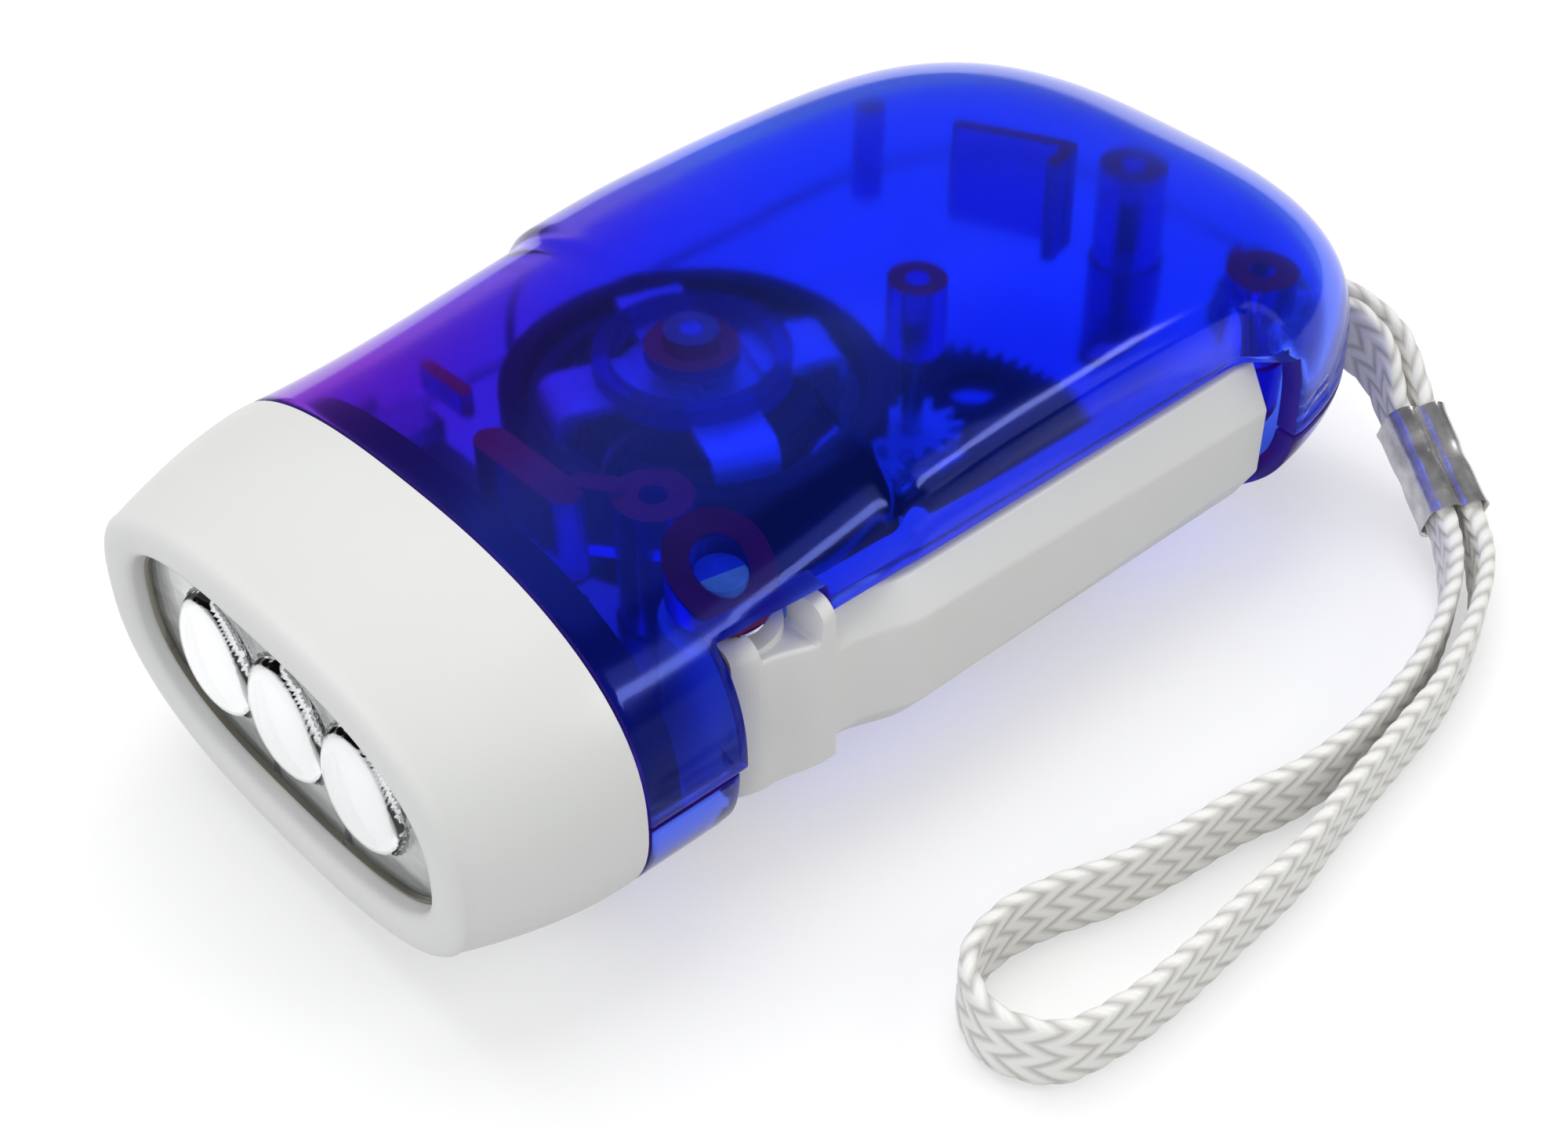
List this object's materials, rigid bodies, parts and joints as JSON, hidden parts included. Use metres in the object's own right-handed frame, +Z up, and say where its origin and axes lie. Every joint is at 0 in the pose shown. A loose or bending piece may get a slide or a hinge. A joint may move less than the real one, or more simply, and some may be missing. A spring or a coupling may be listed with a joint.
{
  "type": "dynamo flashlight",
  "caption": "Hand squeezed dynamo flashlight with a clear blue housing, light grey head and lever, LED lamp, geared flywheel generator and a braided wrist strap.",
  "frame": {"origin": "middle of the flat rest face under the lower shell", "axes": "+X is the side with the squeeze lever, +Y runs from the lens to the tail, +Z is up, away from the rest face"},
  "size_m": [0.0855, 0.1081, 0.0357],
  "materials": {
    "blue_plastic": "clear tinted",
    "grey_plastic": "satin",
    "clear_plastic": "clear",
    "chrome": "bright",
    "board_green": "lacquered",
    "cell_wrap": "film",
    "steel": "plated",
    "nylon": "satin",
    "brass": "plain",
    "black_plastic": "satin",
    "magnet_black": "matte",
    "plate_steel": "plain",
    "copper": "enamelled",
    "red_wire": "plain",
    "tape_white": "braided"
  },
  "bodies": {
    "housing": {"upper_shell": "blue_plastic", "lower_shell": "blue_plastic", "head_shell": "grey_plastic", "lens_window": "clear_plastic", "led_left": "clear_plastic", "led_middle": "clear_plastic", "led_right": "clear_plastic", "reflector": "chrome", "lamp_board": "board_green", "circuit_board": "board_green", "charge_cell_1": "cell_wrap", "charge_cell_2": "cell_wrap", "charge_cell_3": "cell_wrap", "slide_switch": "steel", "lever_pin": "steel", "return_spring": "steel", "drive_gear_shaft": "steel", "stator_core": "steel", "case_screw_1": "steel", "case_screw_2": "steel", "case_screw_3": "steel", "strap_bar": "steel", "strap_ferrule": "steel", "coil_bobbin": "nylon", "upper_bush": "brass", "lower_bush": "brass", "coil_lead_right": "black_plastic", "lamp_lead_right": "black_plastic", "stator_upper_plate": "plate_steel", "stator_lower_plate": "plate_steel", "coil_winding": "copper", "coil_lead_left": "red_wire", "lamp_lead_left": "red_wire", "wrist_strap": "tape_white"},
    "lever": {"lever": "grey_plastic"},
    "drive_pinion": {"drive_pinion": "nylon"},
    "drive_gear": {"drive_gear": "nylon", "ratchet_pawl": "nylon"},
    "rotor": {"flywheel": "black_plastic", "magnet_ring": "magnet_black", "rotor_pinion": "brass", "rotor_shaft": "steel"},
    "switch_button": {"slide_button": "grey_plastic"}
  },
  "joints": [
    {"name": "lever_squeeze", "type": "hinge", "parent": "housing", "child": "lever", "pos_m": [0.019, -0.028, 0.016], "axis": [0, 0, -1], "range_deg": [0, 22], "stiffness_Nm_per_rad": 0.3, "springref_deg": -17.19},
    {"name": "drive_pinion_turn", "type": "hinge", "parent": "housing", "child": "drive_pinion", "pos_m": [0.00216, 0.00894, 0.011], "axis": [0, 0, 1], "continuous": true},
    {"name": "flywheel_spin", "type": "hinge", "parent": "housing", "child": "rotor", "pos_m": [-0.005, -0.01, 0.016], "axis": [0, 0, 1], "continuous": true},
    {"name": "drive_gear_spin", "type": "hinge", "parent": "housing", "child": "drive_gear", "pos_m": [0.00216, 0.00894, 0.008], "axis": [0, 0, 1], "continuous": true},
    {"name": "switch_slide", "type": "slide", "parent": "housing", "child": "switch_button", "axis": [0, 1, 0], "range_m": [0, 0.003]}
  ],
  "couplings": [
    {"joint": "drive_pinion_turn", "follows": "lever_squeeze", "ratio": 8.6667},
    {"joint": "drive_gear_spin", "follows": "flywheel_spin", "ratio": -0.19118}
  ]
}
